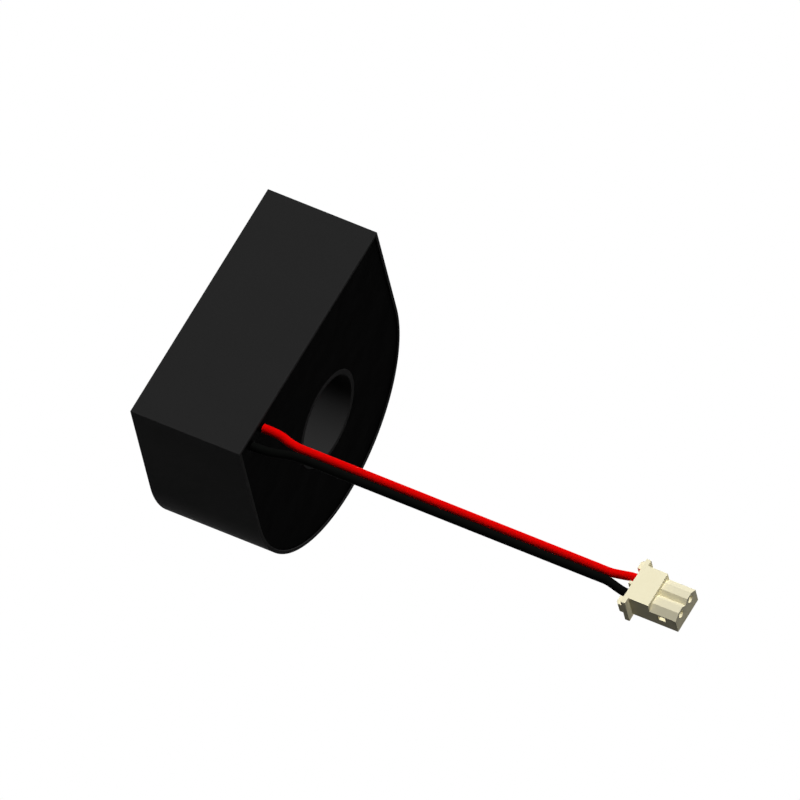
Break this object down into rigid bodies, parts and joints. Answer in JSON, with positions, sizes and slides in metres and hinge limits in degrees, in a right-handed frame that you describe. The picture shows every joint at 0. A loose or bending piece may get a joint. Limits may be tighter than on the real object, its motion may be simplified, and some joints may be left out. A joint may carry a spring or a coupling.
{
  "type": "current transformer",
  "caption": "Potted window-type current transformer in a D-shaped case, with a round bore for the conductor and two flexible leads that end in a small crimp plug.",
  "frame": {"origin": "centre of the primary bore, on its axis at half the length of the case", "axes": "+Z along the bore from the resin face to the closed back, -Y towards the flat side, +X along the flat side, away from the corner where the leads leave; the leads hang down along -Z"},
  "size_m": [0.037, 0.037, 0.0799],
  "materials": {
    "case": "smooth moulded plastic, satin black",
    "resin": "cast black resin, smooth",
    "core": "wound strip",
    "core_box": "moulded plastic",
    "winding": "enamelled copper wire",
    "wrap": "polyester tape",
    "solder": "solder",
    "sleeve": "shrink sleeve",
    "red_lead": "soft extruded insulation, satin red",
    "black_lead": "soft extruded insulation, satin black",
    "plug": "moulded ivory nylon, satin",
    "terminal": "tinned bronze sheet",
    "strands": "bare copper strands"
  },
  "bodies": {
    "root": {"case": "case", "resin_fill": "resin", "core_ring": "core", "core_box": "core_box", "core_box_lid": "core_box", "winding": "winding", "winding_wrap": "wrap", "start_wire": "winding", "finish_wire": "winding", "red_joint": "solder", "black_joint": "solder", "red_sleeve": "sleeve", "black_sleeve": "sleeve", "red_lead": "red_lead", "black_lead": "black_lead", "plug_housing": "plug", "red_terminal": "terminal", "black_terminal": "terminal", "red_strands": "strands", "black_strands": "strands"}
  },
  "joints": []
}
